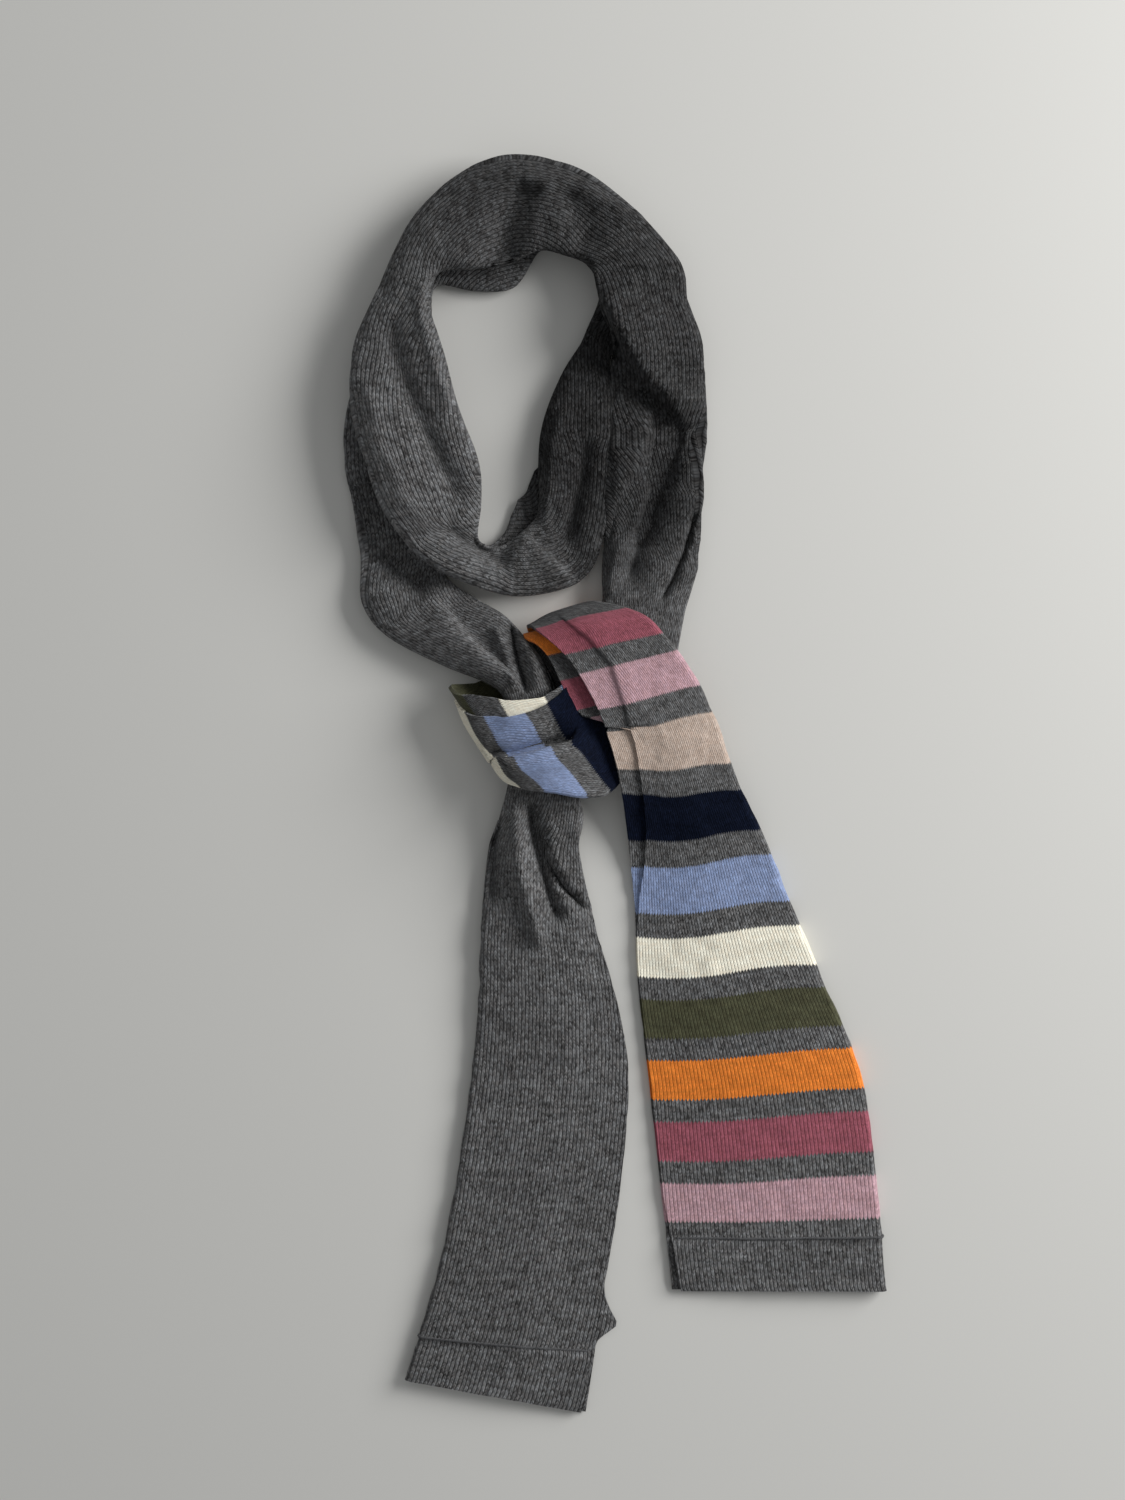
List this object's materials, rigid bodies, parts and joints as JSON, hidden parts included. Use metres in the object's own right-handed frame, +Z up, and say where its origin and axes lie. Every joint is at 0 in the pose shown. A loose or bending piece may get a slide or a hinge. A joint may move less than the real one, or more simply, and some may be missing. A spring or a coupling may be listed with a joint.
{
  "type": "knitted scarf",
  "caption": "Long fine-knit scarf folded lengthwise, wound twice into a neck loop and tied with a wrap knot, striped at one end.",
  "frame": {"origin": "on the resting surface, under the middle of the bounding box", "axes": "+Z up from the resting surface, +Y from the knot to the crown of the neck loop, +X towards the side of the striped tail"},
  "size_m": [0.276, 0.6336, 0.0319],
  "materials": {
    "grey_knit": "matte fine-gauge jersey knit of grey melange yarn",
    "pink_knit": "matte fine-gauge jersey knit",
    "rose_knit": "matte fine-gauge jersey knit",
    "orange_knit": "matte fine-gauge jersey knit",
    "olive_knit": "matte fine-gauge jersey knit",
    "cream_knit": "matte fine-gauge jersey knit",
    "blue_knit": "matte fine-gauge jersey knit",
    "navy_knit": "matte fine-gauge jersey knit",
    "beige_knit": "matte fine-gauge jersey knit",
    "grey_thread": "matte twisted melange yarn"
  },
  "bodies": {
    "root": {"grey_spacer_09": "grey_knit", "grey_spacer_10": "grey_knit", "grey_spacer_11": "grey_knit", "grey_spacer_12": "grey_knit", "grey_spacer_13": "grey_knit", "grey_spacer_14": "grey_knit", "grey_spacer_15": "grey_knit", "grey_spacer_16": "grey_knit", "inner_crown_left": "grey_knit", "inner_crown_right": "grey_knit", "inner_left_lower": "grey_knit", "inner_left_upper": "grey_knit", "inner_right_lower": "grey_knit", "inner_right_upper": "grey_knit", "knot_core": "grey_knit", "knot_gather": "grey_knit", "neck_bottom_left": "grey_knit", "neck_bottom_right": "grey_knit", "neck_crown_left": "grey_knit", "neck_crown_right": "grey_knit", "neck_left_lower": "grey_knit", "neck_left_upper": "grey_knit", "neck_right_lower": "grey_knit", "neck_right_upper": "grey_knit", "plain_tail_root": "grey_knit", "stripe_beige_1": "beige_knit", "stripe_beige_2": "beige_knit", "stripe_blue_2": "blue_knit", "stripe_cream_2": "cream_knit", "stripe_navy_2": "navy_knit", "stripe_olive_2": "olive_knit", "stripe_orange_2": "orange_knit", "stripe_pink_2": "pink_knit", "stripe_rose_2": "rose_knit"},
    "striped_upper": {"grey_spacer_06": "grey_knit", "stripe_blue_1": "blue_knit", "grey_spacer_07": "grey_knit", "stripe_navy_1": "navy_knit", "grey_spacer_08": "grey_knit"},
    "striped_middle": {"grey_spacer_03": "grey_knit", "stripe_orange_1": "orange_knit", "grey_spacer_04": "grey_knit", "stripe_olive_1": "olive_knit", "grey_spacer_05": "grey_knit", "stripe_cream_1": "cream_knit"},
    "striped_tip": {"striped_end_hem": "grey_knit", "striped_hem_thread": "grey_thread", "grey_spacer_01": "grey_knit", "stripe_pink_1": "pink_knit", "grey_spacer_02": "grey_knit", "stripe_rose_1": "rose_knit"},
    "plain_upper": {"plain_tail_upper": "grey_knit"},
    "plain_middle": {"plain_tail_middle": "grey_knit"},
    "plain_tip": {"plain_tail_lower": "grey_knit", "plain_end_hem": "grey_knit", "plain_hem_thread": "grey_thread"}
  },
  "joints": [
    {"name": "striped_tail_swing", "type": "hinge", "parent": "root", "child": "striped_upper", "pos_m": [0.0297, 0.0105, 0.0175], "axis": [0, 0, 1], "range_deg": [0, 15]},
    {"name": "striped_tail_lift", "type": "hinge", "parent": "striped_upper", "child": "striped_middle", "pos_m": [0.0526, -0.0735, 0.0064], "axis": [-0.9989, -0.047, 0], "range_deg": [0, 60]},
    {"name": "striped_tip_lift", "type": "hinge", "parent": "striped_middle", "child": "striped_tip", "pos_m": [0.0741, -0.167, 0.0064], "axis": [-0.9991, -0.042, 0], "range_deg": [0, 60]},
    {"name": "plain_tail_swing", "type": "hinge", "parent": "root", "child": "plain_upper", "pos_m": [-0.0405, -0.0313, 0.007], "axis": [0, 0, -1], "range_deg": [0, 15]},
    {"name": "plain_tail_lift", "type": "hinge", "parent": "plain_upper", "child": "plain_middle", "pos_m": [-0.0328, -0.1339, 0.0068], "axis": [-1, 0, 0], "range_deg": [0, 60]},
    {"name": "plain_tip_lift", "type": "hinge", "parent": "plain_middle", "child": "plain_tip", "pos_m": [-0.0417, -0.2173, 0.0064], "axis": [-1, -0.0099, 0], "range_deg": [0, 60]}
  ]
}
